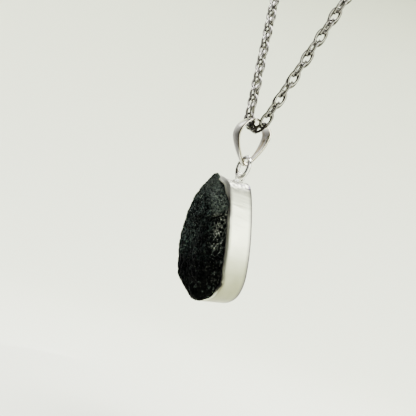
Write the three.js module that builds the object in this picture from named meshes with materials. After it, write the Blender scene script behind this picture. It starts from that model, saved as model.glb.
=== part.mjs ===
// Tektite pendant: a rough tektite in a silver bezel, hung by a jump ring and a teardrop bail on a chain.
// Millimetres, +Z up. The stone faces -Y. The origin is midway between the chain's two end rings.
import * as THREE from 'three';
import { mergeVertices } from 'three/addons/utils/BufferGeometryUtils.js';

// ---- Driving dimensions ----
const HANG_Y = -4.4; // the plumb line through jump ring and eyelet
const APEX_Y = -4.7;
const APEX_Z = -46.5; // lowest point of the chain's centreline, inside the bail
const EYELET_Z = -59.5; // centre of the eyelet's hole

const STONE = { proud: 3.0, seat: 1.9, clearance: 0.15, around: 88, facetWidth: 4.2, overhang: 0.6 };
const WALL = { depth: 6.4, thickness: 0.5, lipReach: 0.25, lipDrop: 0.45, topStep: 1.35 };
const PLATE = { thickness: 1.0, joint: 0.05 };
const EYELET = { radius: 1.05, wire: 0.3, place: new THREE.Vector3(0.4, 3.1, 15.72) };
const RING = { radius: 2.7, wire: 0.55, turn: THREE.MathUtils.degToRad(-6) };
const BAIL = { band: 0.55, topWidth: 3.5, footWidth: 1.3, height: 12.1, crownGap: 0.6 };
const CHAIN = { radius: 1.05, sides: 8, end: 43.8 };
const END_RING = { radius: 2.05, wire: 0.45, at: 46.6 };
const LEAN = { forward: THREE.MathUtils.degToRad(9.5), sideways: THREE.MathUtils.degToRad(-5) };

// The setting's outline, seen from the front, from the tip clockwise: [x, z].
const OUTLINE = [
  [0.2, 15.5], [3.1, 14.55], [5.3, 13.1], [6.4, 10.4], [7.45, 5.6], [8.1, 0.8], [8.35, -4.0],
  [7.9, -9.4], [6.0, -13.0], [2.9, -14.9], [-0.8, -15.5], [-4.7, -14.6], [-8.2, -12.5],
  [-10.8, -9.2], [-12.1, -5.2], [-12.3, -1.0], [-11.4, 3.0], [-9.9, 6.6], [-7.9, 9.7], [-5.4, 12.3],
  [-2.7, 14.4],
];
const HEART = new THREE.Vector2(-1.9, -0.8); // centre that the outline is scaled about

// The chain's route right of the bail, from the apex: [x, y, z] from the apex.
const STRAND = [
  [0, 0, 0], [1.0, 0, 0.05], [1.9, -0.01, 0.28], [2.7, -0.02, 0.9], [3.32, -0.04, 1.75],
  [3.8, -0.06, 2.75],
];
const STRAND_TURN = THREE.MathUtils.degToRad(19.1); // each strand's angle from the V's middle
const STRAND_LEAN = THREE.MathUtils.degToRad(6.25); // the V's lean towards the wearer

const stoneFinish = new THREE.MeshStandardMaterial({ color: 0x141512, roughness: 0.45, metalness: 0 });
const satinSilver = new THREE.MeshStandardMaterial({ color: 0xe8e7e0, roughness: 0.35, metalness: 1 });
const brightSilver = new THREE.MeshStandardMaterial({ color: 0xdcdcd8, roughness: 0.15, metalness: 1 });
const chainSilver = new THREE.MeshStandardMaterial({ color: 0xb8b7b2, roughness: 0.2, metalness: 1 });

// ---- Helpers ----
const mix = THREE.MathUtils.lerp;

/** 0 at from, 1 at to, and an eased curve between them, whichever of the two is larger. */
function smooth(from, to, x) {
  const t = THREE.MathUtils.clamp((x - from) / (to - from), 0, 1);
  return t * t * (3 - 2 * t);
}

/** A repeatable number from 0 to 1 for a whole-number cell. */
function chance(i, j, salt) {
  const wave = Math.sin(i * 127.1 + j * 311.7 + salt * 74.7) * 43758.5453;
  return wave - Math.floor(wave);
}

/** Distance to the nearest scattered point, in cells: 0 in a pit's middle, about 0.7 between pits. */
function pitDistance(x, z, cell) {
  const column = Math.floor(x / cell);
  const row = Math.floor(z / cell);
  let nearest = 2;
  for (let i = column - 1; i <= column + 1; i += 1) {
    for (let j = row - 1; j <= row + 1; j += 1) {
      const dx = x / cell - (i + chance(i, j, 1));
      const dz = z / cell - (j + chance(i, j, 2));
      nearest = Math.min(nearest, Math.hypot(dx, dz));
    }
  }
  return nearest;
}

/** Smooth random height from -1 to 1 over cells of the given size. */
function swell(x, z, cell) {
  const i = Math.floor(x / cell);
  const j = Math.floor(z / cell);
  const u = smooth(0, 1, x / cell - i);
  const v = smooth(0, 1, z / cell - j);
  const low = mix(chance(i, j, 3), chance(i + 1, j, 3), u);
  const high = mix(chance(i, j + 1, 3), chance(i + 1, j + 1, 3), u);
  return 2 * mix(low, high, v) - 1;
}

/** Moves every vertex of a geometry by a function of its position, and leaves it one closed mesh. */
function reshape(geometry, move) {
  geometry.deleteAttribute('uv');
  geometry.deleteAttribute('normal');
  const merged = mergeVertices(geometry, 1e-5);
  const place = merged.attributes.position;
  const point = new THREE.Vector3();
  for (let i = 0; i < place.count; i += 1) {
    point.fromBufferAttribute(place, i);
    move(point);
    place.setXYZ(i, point.x, point.y, point.z);
  }
  merged.computeVertexNormals();
  return merged;
}

function named(name, geometry, material) {
  const mesh = new THREE.Mesh(geometry, material);
  mesh.name = name;
  return mesh;
}

// ---- The setting's outline ----
const outlineCurve = new THREE.CatmullRomCurve3(
  OUTLINE.map(([x, z]) => new THREE.Vector3(x, 0, z)), true, 'centripetal',
);
const outlinePoints = outlineCurve.getSpacedPoints(STONE.around);

/** A point of the outline, drawn in by inset; towardsBack squares the tip off for the eyelet. */
function rim(index, inset, towardsBack) {
  const around = STONE.around;
  const before = outlinePoints[(index + around - 1) % around];
  const after = outlinePoints[(index + 1) % around];
  const normal = new THREE.Vector2(before.z - after.z, after.x - before.x).normalize();
  const point = outlinePoints[index % around];
  const x = point.x - normal.x * inset;
  const z = point.z - normal.y * inset;
  const cut = WALL.topStep * smooth(14, 15.5, point.z) * towardsBack;
  return new THREE.Vector2(x, z - cut);
}

/** Turns a profile round a unit circle, then carries each turn to its place on the outline. */
function ringOf(profile, place) {
  const outline = profile.map(([radius, depth]) => new THREE.Vector2(radius, depth));
  const lathe = new THREE.LatheGeometry(outline, STONE.around);
  return reshape(lathe, (p) => {
    const turn = Math.atan2(p.x, p.z);
    const index = Math.round((turn / (2 * Math.PI)) * STONE.around + STONE.around) % STONE.around;
    place(p, index, Math.hypot(p.x, p.z), p.y);
  });
}

const FRONT = -WALL.depth / 2;
const BACK = WALL.depth / 2;

/** How far the front edge lies back from its flat, as the wall follows the uneven stone. */
function lipWave(x, z) {
  const dent = smooth(3.2, 0, Math.hypot(x - 7.4, z + 10.6));
  return 0.9 * dent + 0.08 * swell(x, z, 2.4);
}

// ---- Tektite ----
/** Height of the stone's face over the lip's plane, at a share of the way from the heart to its edge. */
function faceHeight(share, edge, x, z) {
  const reach = Math.hypot(edge.x - HEART.x, edge.y - HEART.y);
  const inward = (1 - share) * reach;
  const right = smooth(-1, 6, edge.x);
  const bevel = mix(1.5, STONE.facetWidth, right);
  const t = Math.min(1, inward / bevel);
  const rise = mix(Math.sqrt(1 - (1 - t) ** 2), t * (1.25 - 0.25 * t), right);
  const slope = 0.035 * (x - 2) - 0.02 * (z - 4) - 0.5 * smooth(-6, -12, edge.x);
  const uneven = 0.28 * swell(x, z, 4.1) + 0.14 * swell(x + 9, z, 1.9);
  const tip = mix(1, 0.3, smooth(9.5, 15, z));
  return (STONE.proud + slope + uneven * t) * rise * tip;
}

/** How far the stone swells over the lip on the left, at a distance inward from its edge. */
function overhang(inward, edge) {
  const step = inward / 0.35;
  return STONE.overhang * step * Math.exp(1 - step) * (1 - smooth(-1, 5, edge.x));
}

function tektite() {
  const shares = [0];
  for (let ring = 1; ring <= 22; ring += 1) shares.push((ring / 22) ** 0.65);
  const profile = shares.map((share) => [share, 3 - share]);
  profile.push([1, 1.2], [1, 0.6], [1, 0], [0, 0]);
  const opening = WALL.thickness + WALL.lipReach + STONE.clearance;
  const snug = WALL.thickness + STONE.clearance;
  return ringOf(profile, (p, index, radius, depth) => {
    if (depth >= 2) {
      const share = Math.min(1, radius);
      const edge = rim(index, opening, 0);
      const reach = Math.hypot(edge.x - HEART.x, edge.y - HEART.y);
      const spread = share + overhang((1 - share) * reach, edge) / reach;
      p.x = mix(HEART.x, edge.x, spread);
      p.z = mix(HEART.y, edge.y, spread);
      const edgeFade = smooth(1, 0.94, share);
      const pit = 0.4 * smooth(0.5, 0, pitDistance(p.x, p.z, 2.0)) * edgeFade;
      p.y = FRONT + 0.1 - faceHeight(share, edge, p.x, p.z) + pit;
      p.y = Math.min(p.y, FRONT + 0.1 + lipWave(p.x, p.z) * smooth(0.8, 1, share));
      return;
    }
    const shoulder = depth > 1;
    const edge = rim(index, shoulder ? opening : snug, shoulder ? 0.4 : 1);
    const level = shoulder ? 1.0 : 1.7;
    p.x = mix(HEART.x, edge.x, radius);
    p.z = mix(HEART.y, edge.y, radius);
    p.y = depth > 0.3 ? FRONT + level + lipWave(edge.x, edge.y) : STONE.seat;
  });
}

// ---- Bezel wall and back plate ----
function bezelWall() {
  const { thickness, lipReach, lipDrop } = WALL;
  const rear = BACK;
  // Each corner: [inset from the outline, how far behind the front edge, towards the back outline]
  const corners = [
    [thickness, rear - FRONT, 1], [thickness, 1.15, 0.6], [thickness + lipReach, 0.5, 0],
    [thickness + lipReach, 0.2, 0], [thickness, 0, 0], [0.2, 0.12, 0], [0, lipDrop, 0.1],
    [0, 1.3, 0.75], [0, 2.6, 1], [0, rear - FRONT, 1],
  ];
  const profile = corners.map((corner, i) => {
    const angle = (2 * Math.PI * i) / corners.length;
    return [2 + Math.cos(angle), Math.sin(angle)];
  });
  profile.push(profile[0]);
  return ringOf(profile, (p, index, radius, depth) => {
    const angle = Math.atan2(depth, radius - 2);
    const step = Math.round((angle / (2 * Math.PI)) * corners.length + corners.length) % corners.length;
    const [inset, behind, towardsBack] = corners[step];
    const edge = rim(index, inset, towardsBack);
    const follow = smooth(rear - FRONT, 0.5, behind);
    p.x = edge.x;
    p.z = edge.y;
    p.y = FRONT + behind + lipWave(edge.x, edge.y) * follow;
  });
}

function backPlate() {
  const rear = BACK - PLATE.thickness;
  const profile = [[0, 3], [1, 3], [1, 0], [0, 0]];
  return ringOf(profile, (p, index, radius, depth) => {
    const edge = rim(index, WALL.thickness + PLATE.joint, 1);
    const share = radius > 0.5 ? 1 : 0;
    p.x = mix(HEART.x, edge.x, share);
    p.z = mix(HEART.y, edge.y, share);
    p.y = depth > 2 ? rear : BACK;
  });
}

// ---- Wire rings ----
function wireRing(radius, wire, around) {
  return reshape(new THREE.TorusGeometry(radius, wire, 8, around), () => {});
}

// ---- Bail ----
/** The bail's side outline, drawn in from the outside by inset: [y, height over the foot]. */
function bailOutline(inset, ShapeType) {
  const { height } = BAIL;
  const shape = new ShapeType();
  const foot = inset * 1.6;
  const front = -5.2 + inset;
  const back = 4.05 - inset;
  const top = height - inset;
  shape.moveTo(0.15, foot);
  shape.bezierCurveTo(1.2 - inset * 0.7, foot + 0.1, back, 5.5, back, 9.0);
  shape.bezierCurveTo(back, 11.0 - inset * 0.5, 1.8 - inset * 0.4, top, -1.0, top);
  shape.bezierCurveTo(-3.3 + inset * 0.4, top, front, 9.4, front, 7.0);
  shape.bezierCurveTo(front, 4.7, -1.2 + inset * 0.3, foot, 0.15, foot);
  return shape;
}

function bail() {
  const shape = bailOutline(0, THREE.Shape);
  shape.holes.push(bailOutline(BAIL.band, THREE.Path));
  const band = new THREE.ExtrudeGeometry(shape, { depth: 2, steps: 2, bevelEnabled: false, curveSegments: 9 });
  return reshape(band, (p) => {
    const height = p.y;
    const across = p.z - 1;
    const width = mix(BAIL.footWidth, BAIL.topWidth, smooth(-0.5, 10, height));
    p.y = p.x;
    p.x = (across * width) / 2;
    p.z = height;
  });
}

// ---- Chain ----
/** The strand's straight direction, for the right (1) or left (-1) side. */
function strandDirection(side) {
  return new THREE.Vector3(
    side * Math.sin(STRAND_TURN),
    Math.cos(STRAND_TURN) * Math.sin(STRAND_LEAN),
    Math.cos(STRAND_TURN) * Math.cos(STRAND_LEAN),
  );
}

/** A point of the straight part of a strand, at a distance from the bend beside the bail. */
function strandPoint(side, distance) {
  const [x, y, z] = STRAND[STRAND.length - 1];
  const bend = new THREE.Vector3(side * x, APEX_Y + y, APEX_Z + z);
  return bend.addScaledVector(strandDirection(side), distance);
}

function chainRoute() {
  const bend = STRAND.map(([x, y, z]) => new THREE.Vector3(x, APEX_Y + y, APEX_Z + z));
  const straight = [4, 12, 20, 28, 36, CHAIN.end].map((distance) => strandPoint(1, distance));
  const right = [...bend, ...straight];
  const left = right.slice(1).map((p) => new THREE.Vector3(-p.x, p.y, p.z)).reverse();
  return new THREE.CatmullRomCurve3([...left, ...right], false, 'centripetal');
}

function chain() {
  const section = new THREE.Shape();
  for (let side = 0; side < CHAIN.sides; side += 1) {
    const angle = (2 * Math.PI * (side + 0.5)) / CHAIN.sides;
    const corner = [CHAIN.radius * Math.cos(angle), CHAIN.radius * Math.sin(angle)];
    if (side === 0) section.moveTo(...corner);
    else section.lineTo(...corner);
  }
  section.closePath();
  const tube = new THREE.ExtrudeGeometry(section, { steps: 48, extrudePath: chainRoute(), curveSegments: 1 });
  return reshape(tube, () => {});
}

function endRing(name, side) {
  const ring = named(name, wireRing(END_RING.radius, END_RING.wire, 24), brightSilver);
  ring.position.copy(strandPoint(side, END_RING.at));
  // The ring's plane holds the strand and the V's lean, so it is seen open from the front.
  const along = strandDirection(side);
  const across = new THREE.Vector3(1, 0, 0).addScaledVector(along, -along.x).normalize();
  const normal = new THREE.Vector3().crossVectors(across, along);
  ring.quaternion.setFromRotationMatrix(new THREE.Matrix4().makeBasis(across, along, normal));
  return ring;
}

// ---- Assembly ----
const pendant = new THREE.Group();
pendant.position.set(0, HANG_Y, EYELET_Z);
pendant.rotation.set(LEAN.forward, LEAN.sideways, 0, 'YXZ');
const setting = new THREE.Group();
setting.position.copy(EYELET.place).negate();
pendant.add(setting);
setting.add(named('tektite', tektite(), stoneFinish));
setting.add(named('bezel_wall', bezelWall(), satinSilver));
setting.add(named('back_plate', backPlate(), satinSilver));

const eyelet = named('eyelet', wireRing(EYELET.radius, EYELET.wire, 20), brightSilver);
eyelet.rotation.y = Math.PI / 2;
pendant.add(eyelet);

const ringCentre = EYELET_Z + RING.radius;
const jumpRing = named('jump_ring', wireRing(RING.radius, RING.wire, 36), brightSilver);
jumpRing.position.set(0, HANG_Y, ringCentre);
jumpRing.rotation.set(Math.PI / 2, 0, RING.turn, 'ZXY');

const bailMesh = named('bail', bail(), brightSilver);
bailMesh.position.set(0, HANG_Y, APEX_Z + CHAIN.radius + BAIL.crownGap + BAIL.band - BAIL.height);

const model = new THREE.Group();
model.add(pendant, jumpRing, bailMesh, named('chain', chain(), chainSilver));
model.add(endRing('end_ring_left', -1), endRing('end_ring_right', 1));

export default model;
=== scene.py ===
# %% [markdown]
# # Dressing a tektite pendant
# A tektite is natural glass that was splashed up by a meteorite's impact. This one keeps its rough skin
# and sits in a plain silver bezel, which hangs from a jump ring, a tapered bail and a chain.
# The CAD model gives every piece its place and size. This lesson gives each one its fine shape and finish.

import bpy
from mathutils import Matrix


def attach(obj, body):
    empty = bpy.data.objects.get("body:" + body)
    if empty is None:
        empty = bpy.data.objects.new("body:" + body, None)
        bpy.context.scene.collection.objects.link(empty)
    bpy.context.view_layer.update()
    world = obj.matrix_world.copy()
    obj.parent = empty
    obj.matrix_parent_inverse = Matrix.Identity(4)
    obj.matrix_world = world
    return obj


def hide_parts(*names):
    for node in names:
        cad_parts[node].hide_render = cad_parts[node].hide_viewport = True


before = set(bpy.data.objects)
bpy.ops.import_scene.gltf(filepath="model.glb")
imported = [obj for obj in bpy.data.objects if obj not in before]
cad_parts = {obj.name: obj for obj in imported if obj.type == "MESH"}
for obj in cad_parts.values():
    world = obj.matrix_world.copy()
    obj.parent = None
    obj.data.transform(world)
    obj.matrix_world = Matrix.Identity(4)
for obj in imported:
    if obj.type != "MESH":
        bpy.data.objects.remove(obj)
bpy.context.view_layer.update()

# %% Tools of the trade
import math
import random

import bmesh
import bpy
from mathutils import Matrix, Vector, geometry, noise

MM = 0.001
TURN = 2 * math.pi
X, Y = Vector((1, 0, 0)), Vector((0, 1, 0))

# %% [markdown]
# ## The camera
# The camera comes first.
# It stands to the right of the pendant, a little lower, and is turned about its own axis, so that the
# pendant appears to lean. A camera object looks along its own -Z, so it is first tipped up by 90 degrees.

# %% Place the camera
CAMERA = {"place": (131.023, -90.82, -85.814), "azimuth": 58.472, "tilt": 6.052, "roll": 18.343}

camera_data = bpy.data.cameras.new("camera")
camera_data.sensor_width = 36.0
camera_data.lens = 55.4
camera_data.clip_start = 0.005
camera = bpy.data.objects.new("camera", camera_data)
bpy.context.collection.objects.link(camera)
camera.matrix_world = (
    Matrix.Translation(Vector(CAMERA["place"]) * MM)
    @ Matrix.Rotation(math.radians(CAMERA["azimuth"]), 4, "Z")
    @ Matrix.Rotation(math.radians(90 + CAMERA["tilt"]), 4, "X")
    @ Matrix.Rotation(math.radians(CAMERA["roll"]), 4, "Z")
)
bpy.context.scene.camera = camera
print("camera at", [round(c, 3) for c in camera.matrix_world.translation])

# %% [markdown]
# ## The chain's route
# The chain lies in a V. Its course is the same list of points as in the CAD source, for the right half
# and mirrored for the left. Everything is thought out in millimetres and made metres at the end.

# %% Repeat the route
ROUTE_RIGHT = [
    (0, -4.7, -46.5), (1.0, -4.7, -46.45), (1.9, -4.71, -46.22), (2.7, -4.72, -45.6),
    (3.32, -4.74, -44.75), (3.8, -4.76, -43.75), (5.109, -4.349, -39.993), (7.727, -3.526, -32.478),
    (10.344, -2.703, -24.963), (12.962, -1.88, -17.449), (15.58, -1.057, -9.934), (18.132, -0.254, -2.607),
]
route = [Vector((-x, y, z)) for x, y, z in reversed(ROUTE_RIGHT[1:])] + [Vector(p) for p in ROUTE_RIGHT]
route_length = sum((b - a).length for a, b in zip(route, route[1:]))
print("route", round(route_length, 1), "mm")


# %% Walk along a line of points
def along(points, distance):
    """The place at a distance along a line of points."""
    for start, end in zip(points, points[1:]):
        step = (end - start).length
        if distance <= step:
            return start.lerp(end, distance / step)
        distance -= step
    return points[-1] + (points[-1] - points[-2]).normalized() * distance


def ease(start, end, value):
    """0 at start, 1 at end, and an eased curve between them. Start may be the larger of the two."""
    t = min(1.0, max(0.0, (value - start) / (end - start)))
    return t * t * (3 - 2 * t)


def heading(points, distance, reach):
    """The direction of the line there, averaged over a stretch as long as one link."""
    ahead = along(points, max(distance + reach, 0.01))
    behind = along(points, max(distance - reach, 0.0))
    return (ahead - behind).normalized()


# %% [markdown]
# ## From a bmesh to a finished piece
# Each piece is shaped in a bmesh in millimetres. When it is done, it is scaled to metres, written to
# an object at the origin, smoothed, given its finish, and told which CAD body it moves with.

# %% From a bmesh to an object
def as_mesh(name, shape):
    """A mesh with the shape's vertices, faces and attributes."""
    mesh = bpy.data.meshes.new(name)
    shape.to_mesh(mesh)
    shape.free()
    return mesh


def as_object(name, shape):
    """An object in the scene, at the origin, with the shape as its mesh."""
    made = bpy.data.objects.new(name, as_mesh(name, shape))
    bpy.context.collection.objects.link(made)
    return made


# %% Finish a piece
def smoothed(thing, material):
    """Shades an object smooth and gives it its material."""
    for face in thing.data.polygons:
        face.use_smooth = True
    thing.data.materials.append(material)


def finished(name, shape, body, material, replaces=()):
    """The object of a piece, made from its shape in millimetres."""
    bmesh.ops.recalc_face_normals(shape, faces=shape.faces)
    bmesh.ops.scale(shape, vec=(MM, MM, MM), verts=shape.verts)
    piece = as_object(name, shape)
    smoothed(piece, material)
    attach(piece, body)
    if replaces:
        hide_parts(*replaces)
    print(name, len(piece.data.vertices), "vertices")
    return piece


def soften(piece):
    """Rounds a coarse band with one level of subdivision."""
    rounding = piece.modifiers.new("soften", "SUBSURF")
    rounding.levels = rounding.render_levels = 1


# %% [markdown]
# ## Growing a shape ring by ring
# The bail, the bezel and the chain's links are all bands that follow a line. Spin makes only round
# turns, so here a ring of vertices is extruded again and again, and each new ring is moved to its place.

# %% Grow from ring to ring
def first_ring(shape, places):
    """A closed ring of vertices and edges at the places."""
    ring = [shape.verts.new(place) for place in places]
    for a, b in zip(ring, ring[1:] + ring[:1]):
        shape.edges.new((a, b))
    return ring


def grow(shape, ring, places):
    """Extrudes a closed ring of vertices and moves the new ring to the places."""
    edges = [shape.edges.get((a, b)) for a, b in zip(ring, ring[1:] + ring[:1])]
    made = bmesh.ops.extrude_edge_only(shape, edges=edges)["geom"]
    fresh = {v for v in made if isinstance(v, bmesh.types.BMVert)}
    grown = [next(e.other_vert(v) for e in v.link_edges if e.other_vert(v) in fresh) for v in ring]
    for vertex, place in zip(grown, places):
        vertex.co = place
    return grown


def grown_band(rings):
    """A closed band through all the rings and back to the first, and its vertices ring by ring."""
    shape = bmesh.new()
    for name in ("dark", "tan"):
        shape.verts.layers.float.new(name)
    rows = [first_ring(shape, rings[0])]
    for places in rings[1:] + rings[:1]:
        rows.append(grow(shape, rows[-1], places))
    last = rows.pop()
    bmesh.ops.weld_verts(shape, targetmap=dict(zip(last, rows[0])))
    return shape, rows


# %% [markdown]
# ## Finishes
# Silver shows itself by what it mirrors, so its finish is mostly roughness: soft on the filed wall,
# tight on the polished rings. A shared node group adds the marks of handling. It puts out a tint, a
# roughness and a height, and each material decides how much of each it takes. Painted shade, painted
# reflections and a few stains are written to the meshes as they are shaped, in the attributes "dark" and
# "tan".

# %% Node helpers
def node(tree, kind, **settings):
    """A new node. Each setting is the value of its input of that name, or else a property."""
    made = tree.nodes.new(kind)
    for key, value in settings.items():
        if key in made.inputs:
            made.inputs[key].default_value = value
        else:
            setattr(made, key, value)
    return made


def ramp(tree, source, stops):
    """A colour ramp on a value: stops are (position, brightness or colour)."""
    made = tree.nodes.new("ShaderNodeValToRGB")
    elements = made.color_ramp.elements
    while len(elements) < len(stops):
        elements.new(0.5)
    for element, (position, shade) in zip(elements, stops):
        element.position = position
        element.color = (shade, shade, shade, 1) if isinstance(shade, (int, float)) else (*shade, 1)
    tree.links.new(source, made.inputs["Fac"])
    return made.outputs["Color"]


def product(tree, first, second):
    """The product of a socket's value and a number or another socket's value."""
    made = node(tree, "ShaderNodeMath", operation="MULTIPLY")
    tree.links.new(first, made.inputs[0])
    if isinstance(second, float):
        made.inputs[1].default_value = second
    else:
        tree.links.new(second, made.inputs[1])
    return made.outputs[0]


# %% The handling marks on silver
MARK_INPUTS = {"Scratch Scale": 900.0, "Cloud Scale": 350.0, "Roughness Low": 0.15, "Roughness High": 0.3}


def handling_marks():
    """Long fine scratches for the height, and soft clouds for the tint and the roughness."""
    group = bpy.data.node_groups.new("handling_marks", "ShaderNodeTree")
    for name, start in MARK_INPUTS.items():
        socket = group.interface.new_socket(name=name, in_out="INPUT", socket_type="NodeSocketFloat")
        socket.default_value = start
    for name in ("Tint", "Roughness", "Height"):
        group.interface.new_socket(name=name, in_out="OUTPUT", socket_type="NodeSocketFloat")
    inside = node(group, "NodeGroupInput")
    outside = node(group, "NodeGroupOutput")
    place = node(group, "ShaderNodeTexCoord")
    stretch = node(group, "ShaderNodeMapping")
    stretch.inputs["Rotation"].default_value = (0.2, 0.5, 0.3)
    stretch.inputs["Scale"].default_value = (1.0, 0.12, 1.0)
    clouds = node(group, "ShaderNodeTexNoise", Detail=3.0)
    scratches = node(group, "ShaderNodeTexNoise", Detail=2.0, Roughness=0.7)
    link = group.links.new
    link(place.outputs["Object"], stretch.inputs["Vector"])
    link(stretch.outputs["Vector"], scratches.inputs["Vector"])
    link(place.outputs["Object"], clouds.inputs["Vector"])
    link(inside.outputs["Scratch Scale"], scratches.inputs["Scale"])
    link(inside.outputs["Cloud Scale"], clouds.inputs["Scale"])
    tint = ramp(group, clouds.outputs["Fac"], [(0.3, 0.0), (0.7, 1.0)])
    spread = node(group, "ShaderNodeMapRange")
    link(tint, spread.inputs["Value"])
    link(inside.outputs["Roughness Low"], spread.inputs["To Min"])
    link(inside.outputs["Roughness High"], spread.inputs["To Max"])
    link(tint, outside.inputs["Tint"])
    link(spread.outputs["Result"], outside.inputs["Roughness"])
    link(ramp(group, scratches.outputs["Fac"], [(0.42, 0.0), (0.58, 1.0)]), outside.inputs["Height"])
    return group


marks = handling_marks()


# %% Silver in three finishes
def silver(name, pale, dim, roughness, scales, dent, stains_and_shade):
    """Silver; the last argument lists (mesh attribute, colour) pairs for stains, painted shade and painted
    reflections.
    """
    material = bpy.data.materials.new(name)
    material.use_nodes = True
    tree = material.node_tree
    shader = tree.nodes["Principled BSDF"]
    shader.inputs["Metallic"].default_value = 1.0
    wear = node(tree, "ShaderNodeGroup", node_tree=marks)
    for socket, value in zip(MARK_INPUTS, (*scales, *roughness)):
        wear.inputs[socket].default_value = value
    colour = ramp(tree, wear.outputs["Tint"], [(0.0, dim), (1.0, pale)])
    bump = node(tree, "ShaderNodeBump", Strength=dent, Distance=0.00004)
    # Each pair mixes its colour in: painted shade and painted reflections, and a few real stains.
    for attribute, shade in stains_and_shade:
        amount = node(tree, "ShaderNodeAttribute", attribute_name=attribute).outputs["Fac"]
        stain_and_shade_mix = node(tree, "ShaderNodeMix", data_type="RGBA")
        stain_and_shade_mix.inputs["B"].default_value = (*shade, 1)
        tree.links.new(amount, stain_and_shade_mix.inputs["Factor"])
        tree.links.new(colour, stain_and_shade_mix.inputs["A"])
        colour = stain_and_shade_mix.outputs["Result"]
    tree.links.new(colour, shader.inputs["Base Color"])
    tree.links.new(wear.outputs["Roughness"], shader.inputs["Roughness"])
    tree.links.new(wear.outputs["Height"], bump.inputs["Height"])
    tree.links.new(bump.outputs["Normal"], shader.inputs["Normal"])
    return material


satin = silver(
    "satin_silver", pale=(0.84, 0.865, 0.69), dim=(0.76, 0.78, 0.6), roughness=(0.3, 0.42),
    scales=(700, 260), dent=0.35, stains_and_shade=[("tan", (0.135, 0.13, 0.065)), ("dark", (0.07, 0.06, 0.075))],
)
bright = silver(
    "bright_silver", pale=(0.91, 0.905, 0.83), dim=(0.78, 0.77, 0.69), roughness=(0.08, 0.2),
    scales=(900, 420), dent=0.2, stains_and_shade=[("tan", (0.55, 0.44, 0.25)), ("dark", (0.07, 0.055, 0.035))],
)
# The chain's silver is painted darker than the other two: painted shade.
linked = silver(
    "chain_silver", pale=(0.72, 0.7, 0.65), dim=(0.42, 0.4, 0.35), roughness=(0.1, 0.22),
    scales=(900, 900), dent=0.2, stains_and_shade=[("dark", (0.02, 0.017, 0.013))],
)
print("materials", [m.name for m in (satin, bright, linked)])

# %% [markdown]
# ## The chain
# The chain is of double links: at every station two thin ovals lie side by side, and the next pair is
# turned a quarter round and passes through both. One link is grown once, and then copied to its places.

# %% One oval link
LINK = {"length": 4.6, "width": 2.8, "wire": 0.33, "pitch": 2.96, "steps": 24, "sides": 12}


def oval_link():
    """One link, with painted shade on the flanks of its wire, where it faces its neighbours."""
    rings = []
    half_length = LINK["length"] / 2 - LINK["wire"]
    half_width = LINK["width"] / 2 - LINK["wire"]
    for step in range(LINK["steps"]):
        turn = TURN * step / LINK["steps"]
        centre = Vector((half_width * math.sin(turn), 0, half_length * math.cos(turn)))
        outward = Vector((math.sin(turn) / half_width, 0, math.cos(turn) / half_length)).normalized()
        rings.append([
            centre + (outward * math.cos(a) + Y * math.sin(a)) * LINK["wire"]
            for a in (TURN * side / LINK["sides"] for side in range(LINK["sides"]))
        ])
    shape, rows = grown_band(rings)
    dark = shape.verts.layers.float["dark"]
    # Painted shade on the flanks of the wire.
    for row in rows:
        for side, vertex in enumerate(row):
            vertex[dark] = 0.95 * ease(0.0, 0.5, abs(math.cos(TURN * side / LINK["sides"])))
    return as_mesh("one_link", shape)


# %% Hang the links along the route
# The two links of a pair are turned apart, in degrees, and set apart across and along the chain. A
# pair lies turned about the chain by LAY degrees, further on the left strand, and not quite evenly.
END_ROOM = 0.45
TWINS = {"turn": 14, "apart": 0.34, "slip": 0.3}
LAY = {"right": 52, "left_adds": 23, "uneven": 10}


def linked_chain():
    """The pairs of links, with painted shade that is darkest where they pass through the bail."""
    random.seed(7)
    one_link = oval_link()
    stations = round((route_length - 2 * END_ROOM) / LINK["pitch"])
    shape = bmesh.new()
    for station in range(stations + 1):
        distance = END_ROOM + (route_length - 2 * END_ROOM) * station / stations
        tangent = heading(route, distance, LINK["length"] / 2)
        front = (-Y - tangent * (-Y).dot(tangent)).normalized()
        side = tangent.cross(front)
        left_strand = ease(0.5, 0.42, distance / route_length)
        lay = LAY["right"] + LAY["left_adds"] * left_strand + random.uniform(-LAY["uneven"], LAY["uneven"])
        twist = math.radians(lay + 90 * (station % 2))
        for twin in (-1, 1):
            turn = twist + twin * math.radians(TWINS["turn"])
            normal = front * math.cos(turn) + side * math.sin(turn)
            across = tangent.cross(normal)
            centre = along(route, distance) + normal * (TWINS["apart"] * twin)
            place = Matrix((across, normal, tangent)).transposed().to_4x4()
            place.translation = centre + tangent * (TWINS["slip"] * twin)
            before = len(shape.verts)
            shape.from_mesh(one_link)
            shape.verts.ensure_lookup_table()
            copied = shape.verts[before:]
            bmesh.ops.transform(shape, matrix=place, verts=copied)
            dark = shape.verts.layers.float["dark"]
            # Painted shade: less of it on every other pair and on the left strand, most inside the bail.
            shade_kept = (0.7 if station % 2 else 1.0) * (1 - left_strand) + 0.65 * left_strand
            bail_shade = 0.6 * ease(7, 3, abs(distance - route_length / 2))
            for vertex in copied:
                vertex[dark] = min(1.0, vertex[dark] * shade_kept + bail_shade)
    print("chain of", 2 * (stations + 1), "links")
    return shape


chain = finished("chain_links", linked_chain(), "chain", linked, ["chain"])


# %% [markdown]
# ## Rings of round wire
# A jump ring is a turn of round wire whose ends meet at a hairline seam. A circle is spun round the
# ring's centre for almost a full turn, its two ends are closed, and their edges are softened.

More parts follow.
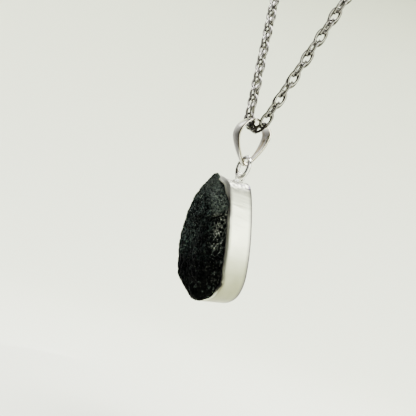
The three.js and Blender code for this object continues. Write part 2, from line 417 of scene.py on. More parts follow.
# %% Spin a wire ring
def wire_ring(radius, wire, place, seam_at=0.0, gap=1.2, around=72, sides=16):
    """A ring with its seam at an angle and a gap in degrees, with painted shade in patches on its inner
    side.
    """
    shape = bmesh.new()
    section = Matrix.Translation(X * radius) @ Matrix.Rotation(math.pi / 2, 4, "X")
    circle = bmesh.ops.create_circle(shape, segments=sides, radius=wire, matrix=section)
    bmesh.ops.spin(
        shape, geom=circle["verts"] + shape.edges[:], cent=(0, 0, 0), axis=(0, 0, 1),
        angle=math.radians(360 - gap), steps=around,
    )
    dark = shape.verts.layers.float.new("dark")
    # Painted shade in patches on the inner side of the wire.
    for vertex in shape.verts:
        inner = (radius - math.hypot(vertex.co.x, vertex.co.y)) / wire
        patch = ease(-0.2, 0.2, noise.noise(vertex.co * 0.9))
        vertex[dark] = 0.95 * patch * ease(-0.1, 0.5, inner)
    ends = [e for e in shape.edges if e.is_boundary]
    caps = bmesh.ops.holes_fill(shape, edges=ends, sides=0)["faces"]
    rims = {e for cap in caps for e in cap.edges}
    bmesh.ops.bevel(
        shape, geom=list(rims), offset=wire * 0.12, offset_type="OFFSET", segments=2, profile=0.5,
        affect="EDGES", material=-1,
    )
    turn = Matrix.Rotation(math.radians(seam_at + gap / 2), 4, "Z")
    bmesh.ops.transform(shape, matrix=place @ turn, verts=shape.verts)
    return shape


# %% The end rings
END_RING = {
    "radius": 2.05, "wire": 0.45, "at": (19.048, 0.034, 0.023), "heading": (0.32722, 0.10287, 0.93933),
}


def end_ring(name, side):
    """The ring that ends a strand, on the left (-1) or the right (1). It stands in the strand's line."""
    along_x, along_y, along_z = END_RING["heading"]
    tangent = Vector((side * along_x, along_y, along_z))
    across = (X - tangent * X.dot(tangent)).normalized()
    place = Matrix((across, tangent, across.cross(tangent))).transposed().to_4x4()
    x, y, z = END_RING["at"]
    place.translation = (side * x, y, z)
    shape = wire_ring(END_RING["radius"], END_RING["wire"], place, seam_at=90)
    return finished(name + "_wire", shape, "chain", bright, [name])


rings = [end_ring("end_ring_left", -1), end_ring("end_ring_right", 1)]

# %% The jump ring
HANG_Y, EYELET_Z = -4.4, -59.5
JUMP = {"radius": 2.7, "wire": 0.55, "turn": -6}
stand = (
    Matrix.Translation((0, HANG_Y, EYELET_Z + JUMP["radius"]))
    @ Matrix.Rotation(math.radians(JUMP["turn"]), 4, "Z")
    @ Matrix.Rotation(math.pi / 2, 4, "X")
)
finished(
    "jump_ring_wire", wire_ring(JUMP["radius"], JUMP["wire"], stand, seam_at=200), "jump_ring",
    bright, ["jump_ring"],
)

# %% [markdown]
# ## The bail
# The bail is cast and filed: a band that is wide and domed over the chain and narrows to the foot,
# where the jump ring hangs. Its outer and inner outlines are the CAD's own curves.

# %% The bail's outlines
BAIL = {"band": 0.55, "top_width": 3.5, "foot_width": 1.3, "height": 12.1, "foot_z": -56.4, "steps": 22}


def bail_outline(inset):
    """Points (y, height) all the way round, drawn in from the outside by inset."""
    foot, front, back, top = inset * 1.6, -5.2 + inset, 4.05 - inset, BAIL["height"] - inset
    curves = [
        [(0.15, foot), (1.2 - inset * 0.7, foot + 0.1), (back, 5.5), (back, 9.0)],
        [(back, 9.0), (back, 11.0 - inset * 0.5), (1.8 - inset * 0.4, top), (-1.0, top)],
        [(-1.0, top), (-3.3 + inset * 0.4, top), (front, 9.4), (front, 7.0)],
        [(front, 7.0), (front, 4.7), (-1.2 + inset * 0.3, foot), (0.15, foot)],
    ]
    points = []
    for ends in curves:
        a, b, c, d = (Vector((y, z, 0)) for y, z in ends)
        points += geometry.interpolate_bezier(a, b, c, d, BAIL["steps"] + 1)[:-1]
    return points


# %% Grow the bail
# Each corner of the band's section: (share of half its width, share of its thickness from the outside)
BAIL_SECTION = [
    (-1, 0.16), (-0.94, 0.02), (-0.7, -0.12), (-0.35, -0.22), (0, -0.26), (0.35, -0.22), (0.7, -0.12),
    (0.94, 0.02), (1, 0.16), (1, 0.34), (1, 0.5), (1, 0.8), (0.95, 1), (0.5, 1), (0, 1), (-0.5, 1),
    (-0.95, 1), (-1, 0.8), (-1, 0.5), (-1, 0.34),
]


def bail_shape():
    rings = []
    for outer, inner in zip(bail_outline(0.0), bail_outline(BAIL["band"])):
        half = (BAIL["foot_width"] + (BAIL["top_width"] - BAIL["foot_width"]) * ease(-0.5, 10, outer.y)) / 2
        ring = []
        for u, depth in BAIL_SECTION:
            p = outer.lerp(inner, depth)
            ring.append(Vector((u * half, HANG_Y + p.x, BAIL["foot_z"] + p.y)))
        rings.append(ring)
    shape, rows = grown_band(rings)
    paint_bail_shade_and_tan(shape, rows)
    return shape


# %% Paint shade and tan on the bail
# Corners of the section that get a painted dark line: painted shade along the band's edges.
DARK_CORNERS = {(1, 0.16): 1.0, (0.94, 0.02): 0.7, (1, 0.34): 1.0}


def paint_bail_shade_and_tan(shape, rows):
    """Painted shade on the band's edges and inner face, and a tan streak with dark spots, tan patches and
    tan sides.
    """
    dark, tan = shape.verts.layers.float["dark"], shape.verts.layers.float["tan"]
    for row in rows:
        for (u, depth), vertex in zip(BAIL_SECTION, row):
            height = vertex.co.z - BAIL["foot_z"]
            inside = ease(0.9, 1.0, depth)
            streak = ease(0.5, 0.2, abs(u + 0.8 - 0.1 * height))
            streak = streak * ease(1.5, 3.5, height) * ease(9.5, 8.0, height)
            patch = ease(-0.2, 0.3, noise.noise(vertex.co * Vector((1.4, 1.4, 0.5))))
            corner = DARK_CORNERS.get((abs(u), depth), 0.0)
            streak_spots = streak * ease(0.05, 0.3, noise.noise(vertex.co * Vector((1.0, 1.0, 0.9))))
            side_face = 0.45 if 0.4 < depth < 0.9 else 0.0
            # Painted shade on the edges and on the whole inner face, darker at the streak's spots.
            vertex[dark] = max(corner, inside * max(0.25, 0.75 * streak_spots))
            vertex[tan] = max(0.16, side_face, inside * max(0.9 * streak, 0.5 * patch))


bail = finished("bail_band", bail_shape(), "bail", bright, ["bail"])
soften(bail)

# %% [markdown]
# ## The setting's frame
# The pendant leans a little, as it hangs from its eyelet. Its pieces are thought out upright, with the
# stone facing -Y, and a single matrix carries them to their place.

# %% Lean of the pendant
EYELET = Vector((0.4, 3.1, 15.72))
LEAN = {"sideways": -5, "foot_back": 9.5}

hung = (
    Matrix.Translation((0, HANG_Y, EYELET_Z))
    @ Matrix.Rotation(math.radians(LEAN["sideways"]), 4, "Y")
    @ Matrix.Rotation(math.radians(LEAN["foot_back"]), 4, "X")
    @ Matrix.Translation(-EYELET)
)

# %% The setting's outline
OUTLINE = [
    (0.2, 15.5), (3.1, 14.55), (5.3, 13.1), (6.4, 10.4), (7.45, 5.6), (8.1, 0.8), (8.35, -4.0),
    (7.9, -9.4), (6.0, -13.0), (2.9, -14.9), (-0.8, -15.5), (-4.7, -14.6), (-8.2, -12.5),
    (-10.8, -9.2), (-12.1, -5.2), (-12.3, -1.0), (-11.4, 3.0), (-9.9, 6.6), (-7.9, 9.7), (-5.4, 12.3),
    (-2.7, 14.4),
]
AROUND = 192


def rounded_outline():
    """The outline as evenly spaced points on one smooth curve through its corners."""
    points = [Vector((x, 0, z)) for x, z in OUTLINE]
    dense = []
    for i, start in enumerate(points):
        before, end, after = points[i - 1], points[(i + 1) % len(points)], points[(i + 2) % len(points)]
        leave = start + (end - before) / 6
        arrive = end - (after - start) / 6
        dense += geometry.interpolate_bezier(start, leave, arrive, end, 13)[:-1]
    dense.append(dense[0])
    total = sum((b - a).length for a, b in zip(dense, dense[1:]))
    return [along(dense, total * i / AROUND) for i in range(AROUND)]


outline = rounded_outline()
outward = [
    Vector((a.z - b.z, 0, b.x - a.x)).normalized()
    for a, b in zip(outline[-1:] + outline[:-1], outline[1:] + outline[:1])
]
print("outline of", AROUND, "points")

# %% Places on the setting
DEPTH, FRONT, TOP_STEP = 6.4, -3.2, 1.35


def on_rim(i, inset, behind, towards_back):
    """A place on the setting: drawn in from the outline, and behind the lip's plane.

    The wall's top steps down towards the back, where the eyelet sits.
    """
    p = outline[i] - outward[i] * inset
    cut = TOP_STEP * ease(14, 15.5, outline[i].z) * towards_back
    return Vector((p.x, FRONT + behind, p.z - cut))


def lip_wave(x, z):
    """How far the lip lies back, where it follows the uneven stone."""
    dent = ease(3.2, 0, math.hypot(x - 7.4, z + 10.6))
    return 0.35 * dent + 0.09 * noise.noise(Vector((x, 0, z)) * 0.55)


# %% [markdown]
# ## The bezel wall
# A strip of sheet silver is bent round the stone, and its front edge is pushed over the stone with a
# burnisher. The strip is grown from its back edge, over the lip and down the inside. The lip keeps the
# small dents of the tool, and one place low on the right is crumpled where the stone dips.

# %% The bezel's section
# Each corner: (distance inside the outline, distance behind the lip's plane, share of the step at the
# wall's top, share of the lip's wave)
WALL_SECTION = [
    (0.14, 6.4, 1.0, 0.0), (0.03, 6.36, 1.0, 0.0), (0.0, 6.2, 1.0, 0.0), (0.0, 5.7, 1.0, 0.0),
    (0.0, 5.2, 1.0, 0.0), (0.0, 4.7, 1.0, 0.0), (0.0, 4.2, 1.0, 0.0), (0.0, 3.6, 1.0, 0.0),
    (0.0, 3.0, 1.0, 0.1), (0.0, 2.4, 0.95, 0.15), (0.0, 1.9, 0.9, 0.2), (0.0, 1.4, 0.7, 0.4),
    (0.0, 1.0, 0.55, 0.6), (0.02, 0.5, 0.15, 1.0),
    (0.1, 0.22, 0.02, 1.0), (0.26, 0.06, 0.0, 1.0), (0.46, 0.0, 0.0, 1.0), (0.64, 0.04, 0.0, 1.0),
    (0.74, 0.14, 0.0, 1.0), (0.76, 0.3, 0.0, 1.0), (0.68, 0.5, 0.0, 1.0), (0.54, 0.85, 0.2, 1.0),
    (0.5, 1.2, 0.6, 0.6), (0.5, 5.2, 1.0, 0.0), (0.5, 6.3, 1.0, 0.0), (0.42, 6.4, 1.0, 0.0),
]


# %% Places on the lip and the wall
def wide_lip(x, z):
    """Right of the tip the lip is broad, and slopes up to the stone."""
    return ease(8.2, 11.5, z) * ease(-0.6, 1.6, x)


def crumpled(x, z):
    """The place low on the right where the lip is broad and crumpled."""
    return ease(4.2, 1.2, math.hypot(x - 7.0, z + 10.6))


def low_lip(x, z):
    """Down the right side the lip is broad too."""
    return ease(4.0, 6.5, x) * ease(9.0, 4.5, z)


def solder_run(p):
    """The patch on top of the wall where the eyelet's solder ran out."""
    return ease(10.4, 12.2, p.z) * ease(-2.5, -1.0, p.x) * ease(-3.0, -2.4, p.y)


# %% Grow the bezel wall
def wall_shape():
    rings = []
    for inset, behind, towards_back, lip in WALL_SECTION:
        ring = []
        for i in range(AROUND):
            p = on_rim(i, inset, behind, towards_back)
            # Where the lip is broad, its inner edge reaches further in and rises on the stone.
            reach = ease(0.3, 0.7, inset) * ease(1.2, 0.5, behind)
            broad = wide_lip(p.x, p.z) * reach
            p -= outward[i] * (0.5 * broad + (0.4 * low_lip(p.x, p.z) + 0.25 * crumpled(p.x, p.z)) * reach)
            p.y -= 0.8 * broad + 0.3 * low_lip(p.x, p.z) * (1 - crumpled(p.x, p.z)) * reach
            # The lip follows the stone, with the small dents of the tool and the crumpled place.
            q = on_rim(i, 0.5, 0, 0)
            tool = noise.noise(q * 1.1) * 0.05 + noise.noise(q * 2.6) * 0.03
            tool += crumpled(q.x, q.z) * 0.15 * noise.noise(q * 2.4 + Vector((2, 0, inset * 3)))
            p.y += lip * (lip_wave(p.x, p.z) + tool)
            # The strip is never quite even, and solder has run out on its top.
            p -= outward[i] * (0.04 * noise.noise(Vector((p.x, p.y * 0.3, p.z)) * 0.5) + 0.04)
            p += outward[i] * (0.13 * solder_run(p) * noise.noise(p * 1.8) * ease(0.2, 0.0, inset))
            ring.append(hung @ p)
        rings.append(ring)
    shape, rows = grown_band(rings)
    paint_wall_shade_and_stains(shape, rows)
    return shape


# %% Paint shade and stains on the bezel wall
def paint_wall_shade_and_stains(shape, rows):
    """Painted shade where the lip meets the stone, at the back edge and in tan lower down; a painted
    reflection in the crumpled place; blots at the solder.
    """
    dark, tan = shape.verts.layers.float["dark"], shape.verts.layers.float["tan"]
    upright = hung.inverted()
    for (inset, behind, _, lip), row in zip(WALL_SECTION, rows):
        for vertex in row:
            p = upright @ vertex.co
            on_lip = lip * ease(-0.02, 0.1, inset) * ease(1.0, 0.5, behind) * ease(0.0, 3.0, p.x)
            melted = solder_run(p) * ease(0.2, 0.0, inset)
            blots = ease(-0.15, 0.25, noise.noise(p * 1.9 + Vector((9, 0, 0))))
            low = ease(6.5, 3.5, p.z)
            cloud = 0.5 + 0.5 * noise.noise(p * 0.45)
            crumple = crumpled(p.x, p.z) * ease(-0.02, 0.2, inset) * ease(1.4, 0.6, behind)
            spots = ease(0.05, 0.4, noise.noise(p * Vector((1.2, 3.0, 1.6))))
            seared = melted * ease(11.8, 12.6, p.z)
            back_edge = ease(5.4, 6.1, behind) * ease(0.6, 0.3, inset)
            edge_line = ease(0.45, 0.6, inset) * wide_lip(p.x, p.z)
            low_line = ease(0.42, 0.6, inset) * ease(1.0, 0.5, behind) * ease(2.0, 4.0, p.x) * low
            # Painted shade along the lip and the back edge, a painted reflection in the crumpled place, and
            # solder stains.
            vertex[dark] = min(1.0, (
                0.12 * on_lip * low + 0.55 * low_line + crumple * (0.2 + 0.4 * spots) + back_edge
                + (0.3 * melted + 0.7 * seared) * blots
                + 0.75 * on_lip * (1 - low) * (1 - edge_line)
            ))
            # Painted shade: dark tan towards the bottom, less of it on the lip.
            lower_shade = 0.97 * ease(4.0, -14.0, p.z) * (0.8 + 0.2 * cloud)
            vertex[tan] = min(1.0, (
                lower_shade * (1 - 0.75 * lip * ease(0.05, 0.25, inset))
                + 0.5 * crumple + 0.3 * low_line + 0.3 * melted
            ))


wall = finished("bezel_strip", wall_shape(), "pendant", satin, ["bezel_wall"])
soften(wall)


# %% [markdown]
# ## The back plate
# The plate is sawn from flat sheet, fitted inside the strip, soldered in and filed flush. One face is
# filled in its outline, extruded to the plate's thickness, and its edges are rounded.

# %% Cut the back plate
PLATE = {"inset": 0.58, "thickness": 1.0, "rounding": 0.05}


def plate_shape():
    shape = bmesh.new()
    front = DEPTH - PLATE["thickness"]
    ring = first_ring(shape, [on_rim(i, PLATE["inset"], front, 1.0) for i in range(AROUND)])
    face = shape.faces.new(ring)
    made = bmesh.ops.extrude_face_region(shape, geom=[face])["geom"]
    back = [v for v in made if isinstance(v, bmesh.types.BMVert)]
    bmesh.ops.translate(shape, vec=Y * PLATE["thickness"], verts=back)
    rims = [e for e in shape.edges if any(len(f.verts) > 4 for f in e.link_faces)]
    bmesh.ops.bevel(
        shape, geom=rims, offset=PLATE["rounding"], offset_type="OFFSET", segments=2, profile=0.5,
        affect="EDGES", material=-1,
    )
    bmesh.ops.transform(shape, matrix=hung, verts=shape.verts)
    return shape


finished("back_sheet", plate_shape(), "pendant", satin, ["back_plate"])

# %% [markdown]
# ## The eyelet and its solder
# The eyelet is a small loop of wire, soldered to the top of the wall. The solder is a lumpy little
# mound that runs out on the wall round the loop's foot.

# %% Bend the eyelet
LOOP = {"radius": 1.05, "wire": 0.3}
upright_loop = hung @ Matrix.Translation(EYELET) @ Matrix.Rotation(math.pi / 2, 4, "Y")
loop_shape = wire_ring(LOOP["radius"], LOOP["wire"], upright_loop, gap=0.8, around=48, sides=14)
finished("eyelet_wire", loop_shape, "pendant", bright, ["eyelet"])


# %% Melt the solder
MOUND = {"size": (1.5, 1.25, 0.5), "at": (0.7, 1.9, 14.5)}


def solder_shape():
    """A ball with lumps, flattened to a mound."""
    shape = bmesh.new()
    bmesh.ops.create_icosphere(shape, subdivisions=4, radius=1.0)
    for vertex in shape.verts:
        p = vertex.co
        lump = 1 + 0.2 * noise.noise(p * 1.7) + 0.1 * noise.noise(p * 4.1)
        vertex.co = p * Vector(MOUND["size"]) * lump
    bmesh.ops.transform(shape, matrix=hung @ Matrix.Translation(MOUND["at"]), verts=shape.verts)
    return shape


finished("solder_mound", solder_shape(), "pendant", bright)

# %% [markdown]
# ## The stone's finish
# Tektite glass is black and barely lets light in. Its skin is etched all over. The bottoms of the pits
# stay black, and the ridges between them are painted lighter, a dull skin with painted highlight on it: a
# pale grey-green painted reflection on the facet beside the tip, and a deep blue-green elsewhere. The
# carving writes three attributes to the mesh, for the ridges, the painted sheen and the glints, so that
# colour and gloss follow it. A fine noise breaks the glints up into specks: pale painted glints in the
# colour, and a thin coat.

# %% Mix the stone's material
# The pits' own black, then the ridges' colours, painted highlight on a dull skin: a deep blue-green, and a
# pale grey-green painted reflection for the facet. The specks' colour is a painted glint.
PIT, TEAL, SHEEN_GREY = (0.0003, 0.0004, 0.00035, 1), (0.048, 0.074, 0.066, 1), (0.145, 0.15, 0.12, 1)
SPECK = (0.36, 0.38, 0.33, 1)


def stone_material():
    material = bpy.data.materials.new("tektite_glass")
    material.use_nodes = True
    tree = material.node_tree
    shader = tree.nodes["Principled BSDF"]
    shader.inputs["IOR"].default_value = 1.5
    shader.inputs["Specular IOR Level"].default_value = 0.015
    shader.inputs["Coat Roughness"].default_value = 0.28
    ridge = node(tree, "ShaderNodeAttribute", attribute_name="ridge").outputs["Fac"]
    painted_sheen = node(tree, "ShaderNodeAttribute", attribute_name="painted_sheen").outputs["Fac"]
    place = node(tree, "ShaderNodeTexCoord")
    grain = node(tree, "ShaderNodeTexNoise", Scale=2800.0, Detail=4.0, Roughness=0.7)
    specks = node(tree, "ShaderNodeTexNoise", Scale=2400.0, Detail=2.0, Roughness=0.6)
    for texture in (grain, specks):
        tree.links.new(place.outputs["Object"], texture.inputs["Vector"])
    # The ridges are painted lighter than the pits: painted highlight, broken by a fine grain.
    broken = product(tree, ridge, ramp(tree, grain.outputs["Fac"], [(0.4, 0.0), (0.6, 1.0)]))
    skin = node(tree, "ShaderNodeMix", data_type="RGBA", A=TEAL, B=SHEEN_GREY)
    tree.links.new(painted_sheen, skin.inputs["Factor"])
    colour = node(tree, "ShaderNodeMix", data_type="RGBA", A=PIT)
    tree.links.new(broken, colour.inputs["Factor"])
    tree.links.new(skin.outputs["Result"], colour.inputs["B"])
    # Pale specks painted where the skin glints: painted glints, besides the coat's real gloss.
    glossy = node(tree, "ShaderNodeAttribute", attribute_name="glint").outputs["Fac"]
    glint = product(tree, glossy, ramp(tree, specks.outputs["Fac"], [(0.52, 0.0), (0.62, 1.0)]))
    speckled = node(tree, "ShaderNodeMix", data_type="RGBA", B=SPECK)
    tree.links.new(product(tree, glint, 0.42), speckled.inputs["Factor"])
    tree.links.new(colour.outputs["Result"], speckled.inputs["A"])
    tree.links.new(speckled.outputs["Result"], shader.inputs["Base Color"])
    rough = node(tree, "ShaderNodeMapRange")
    tree.links.new(broken, rough.inputs["Value"])
    rough.inputs["To Min"].default_value = 0.45
    rough.inputs["To Max"].default_value = 0.8
    tree.links.new(rough.outputs["Result"], shader.inputs["Roughness"])
    tree.links.new(product(tree, glint, 0.9), shader.inputs["Coat Weight"])
    bump = node(tree, "ShaderNodeBump", Strength=0.7, Distance=0.00008)
    tree.links.new(grain.outputs["Fac"], bump.inputs["Height"])
    tree.links.new(bump.outputs["Normal"], shader.inputs["Normal"])
    return material


# %% [markdown]
# ## Carving the stone
# The CAD stone has the right bulk. A copy of it is welded, remeshed to a fine even skin, smoothed and
# then carved with wide hollows, coarse dimples and the fine pits that cover the whole face.

# %% Remesh the stone
VOXEL, SMOOTHINGS = 0.137, 6


def stone_blank():
    """The CAD stone as one even skin, in millimetres, upright as in the setting."""
    shape = bmesh.new()
    shape.from_mesh(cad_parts["tektite"].data)
    bmesh.ops.remove_doubles(shape, verts=shape.verts, dist=1e-6)
    blank = as_object("blank", shape)
    remesh = blank.modifiers.new("even", "REMESH")
    remesh.mode = "VOXEL"
    remesh.voxel_size = VOXEL * MM
    depsgraph = bpy.context.evaluated_depsgraph_get()
    shape = bmesh.new()
    shape.from_mesh(blank.evaluated_get(depsgraph).to_mesh())
    bpy.data.objects.remove(blank)
    bmesh.ops.scale(shape, vec=[1 / MM] * 3, verts=shape.verts)
    bmesh.ops.transform(shape, matrix=hung.inverted(), verts=shape.verts)
    for _ in range(SMOOTHINGS):
        bmesh.ops.smooth_vert(
            shape, verts=shape.verts, factor=0.5, use_axis_x=True, use_axis_y=True, use_axis_z=True,
        )
    print("blank of", len(shape.verts), "vertices")
    return shape


# %% Lines on the stone
# The crest as (height, x) from the tip down, and the two ends of the crevice.
CREST = [(13.4, -0.4), (11.1, 1.2), (7.3, 2.6), (4.6, 3.6), (-1.0, 3.9), (-15.0, 4.2)]
CREVICE = (Vector((2.6, 0, 3.7)), Vector((5.6, 0, 5.4)))


def crest_x(z):
    """Where the crest runs that parts the facet on the right from the dark face."""
    for (top, x_top), (low, x_low) in zip(CREST, CREST[1:]):
        if z > low:
            return x_low + (x_top - x_low) * (z - low) / (top - low)
    return CREST[-1][1]


# %% The pits
COARSE_CELL, FINE_CELL = 1.05, 0.6


def pit_and_ridge(p, cell):
    """How deep in a pit, how near a ridge between pits, and how near a corner of three (0 to 1)."""
    distances, _ = noise.voronoi(p / cell)
    return (
        ease(0.62, 0.12, distances[0]),
        ease(0.32, 0.03, distances[1] - distances[0]),
        ease(0.26, 0.06, distances[2] - distances[0]),
    )


# %% The regions
def regions(p):
    """Shares of the facet on the right, of its upper part, and of the tip."""
    wander = 0.8 * noise.noise(p * 0.7)
    facet = ease(-0.7, 0.9, p.x - crest_x(p.z) + wander)
    upper = ease(2.8, 6.4, p.z + wander - 0.5 * (p.x - 3.5))
    tip = ease(8.0, 12.5, p.z + wander)
    return facet, upper, tip


# %% Fit the stone to its lip
def drawn(p, shown, seated):
    """How far the stone is drawn up at the tip, in at the broad lip, and to its shape at the bottom."""
    beak = ease(12.0, 13.4, p.z) * ease(3.2, 1.4, p.x)
    room = wide_lip(p.x, p.z + 0.6) * (1 - beak) * seated
    top = ease(9.0, 14.6, p.z) * ease(2.6, 0.0, p.x) * shown
    side = low_lip(p.x, p.z) * (1 - 0.4 * ease(-3.0, -9.0, p.z)) * seated
    bottom = ease(-11.0, -14.5, p.z) * ease(5.0, 1.5, p.x) * shown
    left = ease(-8.5, -14.5, p.z) * ease(0.5, -4.5, p.x) * shown
    return Vector((
        0.15 * top - 0.7 * room - side + left,
        0,
        1.4 * top - 0.35 * room - 0.75 * bottom + 0.6 * left,
    ))


# %% The big hollows
def hollows(p, facet):
    """The height of the wide swells, less the step under the facet and the notch, plus the weal."""
    step = facet * ease(5.0, 3.8, p.z) * ease(-4.0, 3.0, p.z)
    notch = ease(1.5, 0.2, math.hypot(p.x + 4.2, p.z - 10.6))
    swell = noise.noise(p * 0.5) * 0.14 + noise.noise(p * 1.2) * 0.08
    return swell - 0.3 * step - 0.45 * notch + 0.14 * weal_at(p)


def weal_at(p):
    """A short raised line across the dark face."""
    across = ease(0.7, 0.1, abs(p.z - 4.4 - 0.1 * (p.x + 3)))
    return across * ease(-5.8, -4.5, p.x) * ease(0.3, -1.0, p.x)


def crevice_at(p):
    """How near the crevice that runs under the facet."""
    flat = Vector((p.x, 0, p.z))
    _, share = geometry.intersect_point_line(flat, *CREVICE)
    foot = CREVICE[0].lerp(CREVICE[1], min(1.0, max(0.0, share)))
    return ease(0.6, 0.1, (flat - foot).length)


# %% The skin
def skin_at(p):
    """The height of the carved skin, and how much of a ridge, how much painted sheen and how much glint it
    has.
    """
    facet, upper, tip = regions(p)
    wander = noise.noise(p * 0.6)
    faded = ease(1.6, -2.6, p.z + wander)
    lowness = ease(-2.0, -6.5, p.z + wander)
    netted = facet * (1 - upper)
    crevice = crevice_at(p)
    shifted = p + Vector((3, 1, 7)) + Vector((wander, 0, wander))
    coarse, coarse_net, corner = pit_and_ridge(shifted, COARSE_CELL)
    fine, fine_net, fine_corner = pit_and_ridge(p, FINE_CELL)
    flank = 1 - 0.6 * ease(-5.0, -9.0, p.x)
    height = (
        hollows(p, facet) - 0.4 * crevice
        - (0.1 + 0.28 * netted) * coarse - (0.16 * flank + 0.06 * facet * upper) * fine
    )

    # The facet gets a pale painted reflection but for its pits, which are deepest in colour away from the
    # crest.
    pitted = ease(0.0, 1.6, p.x - crest_x(p.z) - 1.0 + noise.noise(p * 1.1))
    facet_sheen = facet * upper * (1 - (0.45 + 0.55 * pitted) * fine) * (1 - 0.7 * pitted * coarse)
    facet_sheen *= (0.75 + 0.25 * pitted) * (1 - 0.25 * ease(8.5, 4.5, p.z))

    # Below it, the ridges between the coarse pits make a net of painted highlight, which fades out
    # downwards.
    broken = ease(-0.35, 0.25, noise.noise(p * 1.7))
    net = netted * max(coarse_net * broken * (1 - faded), corner * (1 - 0.5 * faded) * (1 - lowness))

    # Elsewhere the fine ridges show as painted highlight in patches, and only a few painted specks are left
    # low down, in the shade.
    patches = ease(-0.1, 0.25, noise.noise(p * 0.6 + Vector((0, 0, 4))))
    inky = ease(-1.0, 1.5, p.x + 1.5 + 0.3 * p.z) * ease(7.5, 4.0, p.z)
    shaded = max(lowness, 0.75 * inky, 0.5 * faded)
    plain = (1 - facet) * (0.85 * fine_net * patches + 0.95 * fine_corner) * (1 - shaded)
    sparse = fine_corner * ease(0.2, 0.5, noise.noise(p * 1.1)) * max(0.7 * lowness, 0.6 * faded)

    ridge = max(0.92 * facet_sheen, net, plain, sparse, 0.6 * tip) * (1 - crevice)
    painted_sheen = 0.4 * facet_sheen + 1.0 * net + 0.35 * tip * (1 - facet) + 0.2 * weal_at(p) + 0.5 * sparse
    glint = netted * corner * (1 - 0.8 * lowness) + 0.35 * sparse + 0.4 * plain + 0.15 * facet * upper
    return height, ridge, painted_sheen, glint


# %% Carve all over
def carve(shape):
    """Only the open face is carved. Round it, the part under the lip is drawn in with it."""
    layers = [shape.verts.layers.float.new(name) for name in ("ridge", "painted_sheen", "glint")]
    shape.normal_update()
    moves = []
    for vertex in shape.verts:
        p = vertex.co
        shown = ease(FRONT + 0.5, FRONT - 0.5, p.y)
        seated = ease(FRONT + 1.8, FRONT + 0.8, p.y)
        if seated <= 0:
            continue
        height, *values = skin_at(p)
        for layer, value in zip(layers, values):
            vertex[layer] = min(1.0, value)
        moves.append((vertex, vertex.normal * (height * shown) + drawn(p, shown, seated)))
    for vertex, move in moves:
        vertex.co += move


# %% Carve the stone
stone_shape = stone_blank()
carve(stone_shape)
bmesh.ops.transform(stone_shape, matrix=hung, verts=stone_shape.verts)
finished("tektite_stone", stone_shape, "pendant", stone_material(), ["tektite"])

# %% [markdown]
# ## The studio
# The pendant hangs over a plain pale floor that curves up all round, like a studio sweep. A profile is
# spun round the middle, so there is the same pale ground behind it from every side. From here on, all
# sizes are in metres.

# %% Spin the floor
FLOOR_Z, FLAT, CURVE = -0.125, 0.3, 0.4


def floor_shape():
    """A level disk that curves up into a wall."""
    shape = bmesh.new()
    profile = [(0, FLOOR_Z), (0.25, FLOOR_Z)]
    profile += [
        (FLAT + CURVE * math.sin(turn), FLOOR_Z + CURVE * (1 - math.cos(turn)))
        for turn in (math.pi / 2 * step / 16 for step in range(17))
    ]
    profile.append((FLAT + CURVE, 0.45))
    line = [shape.verts.new((x, 0, z)) for x, z in profile]
    edges = [shape.edges.new(pair) for pair in zip(line, line[1:])]
    bmesh.ops.spin(
        shape, geom=line + edges, cent=(0, 0, 0), axis=(0, 0, 1), angle=TURN, steps=64,
        use_merge=True,
    )
    bmesh.ops.remove_doubles(shape, verts=shape.verts, dist=1e-5)
    return shape


paper = bpy.data.materials.new("pale_paper")
paper.use_nodes = True
paper_shader = paper.node_tree.nodes["Principled BSDF"]
paper_shader.inputs["Base Color"].default_value = (0.835, 0.865, 0.72, 1)
paper_shader.inputs["Roughness"].default_value = 0.9
floor = as_object("floor", floor_shape())
smoothed(floor, paper)
print("floor of", len(floor.data.vertices), "vertices")

# %% Set the lights
MIDDLE = (0, 0, -0.06)


def soft_light(name, place, size, power):
    """A round lamp that points at the pendant."""
    data = bpy.data.lights.new(name, "AREA")
    data.shape = "DISK"
    data.size = size
    data.energy = power
    light = bpy.data.objects.new(name, data)
    bpy.context.collection.objects.link(light)
    light.location = place
    light.rotation_mode = "QUATERNION"
    light.rotation_quaternion = (Vector(MIDDLE) - Vector(place)).to_track_quat("-Z", "Y")
    print(name, "lamp of", power, "W")


soft_light("overhead", (-0.05, 0.1, 0.5), 0.6, 16.5)
soft_light("right", (0.4, 0.22, 0.12), 0.25, 1.1)
soft_light("front", (0.42, -0.24, 0.1), 0.16, 1.5)

# %% Dim the room
world = bpy.data.worlds.new("room")
bpy.context.scene.world = world
world.use_nodes = True
world.node_tree.nodes["Background"].inputs["Color"].default_value = (0.5, 0.5, 0.5, 1)
world.node_tree.nodes["Background"].inputs["Strength"].default_value = 0.25

# %% [markdown]
# ## Something to mirror
# Polished silver needs something dark to mirror. A wide graded dish stands before the pendant and a
# narrow one behind it, dark in the middle and as bright as the paper at the edge, with a soft bright
# window high up on the left. They are hidden from the camera and show only in the reflections.

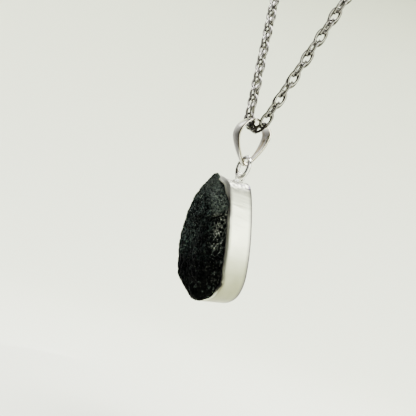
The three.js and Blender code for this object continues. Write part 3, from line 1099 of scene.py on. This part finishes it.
# %% Shape a dish
WINDOW = Vector((-0.64, -0.34, 0.69))
DISH = {"radius": 0.1, "steps": 24, "around": 48, "centre": (0, 0, -0.056), "tilt": 4}
EDGE_SHADE = 0.8


def dish_shape(azimuth, spread):
    """Part of a ball round the pendant, seen from it at an azimuth and with a spread in degrees."""
    shape = bmesh.new()
    shade = shape.verts.layers.float.new("shade")
    line = []
    for step in range(DISH["steps"] + 1):
        turn = math.radians(spread) * step / DISH["steps"]
        vertex = shape.verts.new((DISH["radius"] * math.cos(turn), 0, DISH["radius"] * math.sin(turn)))
        vertex[shade] = EDGE_SHADE * step / DISH["steps"]
        line.append(vertex)
    edges = [shape.edges.new(pair) for pair in zip(line, line[1:])]
    bmesh.ops.spin(
        shape, geom=line + edges, cent=(0, 0, 0), axis=(1, 0, 0), angle=TURN, steps=DISH["around"],
        use_merge=True,
    )
    aim = (
        Matrix.Translation(DISH["centre"])
        @ Matrix.Rotation(math.radians(azimuth), 4, "Z")
        @ Matrix.Rotation(math.radians(DISH["tilt"]), 4, "Y")
    )
    bmesh.ops.transform(shape, matrix=aim, verts=shape.verts)
    for vertex in shape.verts:
        aside = (vertex.co - Vector(MIDDLE)).angle(WINDOW)
        vertex[shade] = max(vertex[shade], ease(0.36, 0.1, aside))
    return shape


# %% Stand the dishes up
GRADES = [(0.0, 0.09), (0.28, 0.16), (0.52, 0.55), (0.8, 1.4), (1.0, 4.0)]

glow = bpy.data.materials.new("graded_dish")
glow.use_nodes = True
glow_shader = glow.node_tree.nodes["Principled BSDF"]
glow_shader.inputs["Base Color"].default_value = (0, 0, 0, 1)
glow_shader.inputs["Specular IOR Level"].default_value = 0.0
glow_shader.inputs["Emission Strength"].default_value = 1.0
shade_of = node(glow.node_tree, "ShaderNodeAttribute", attribute_name="shade").outputs["Fac"]
graded = ramp(glow.node_tree, shade_of, GRADES)
glow.node_tree.links.new(graded, glow_shader.inputs["Emission Color"])
for name, azimuth, spread in (("front_dish", -102, 80), ("back_dish", 92, 40)):
    dish = as_object(name, dish_shape(azimuth, spread))
    dish.data.materials.append(glow)
    print(name, "at", azimuth, "degrees")
    dish.visible_camera = False
    dish.visible_shadow = False
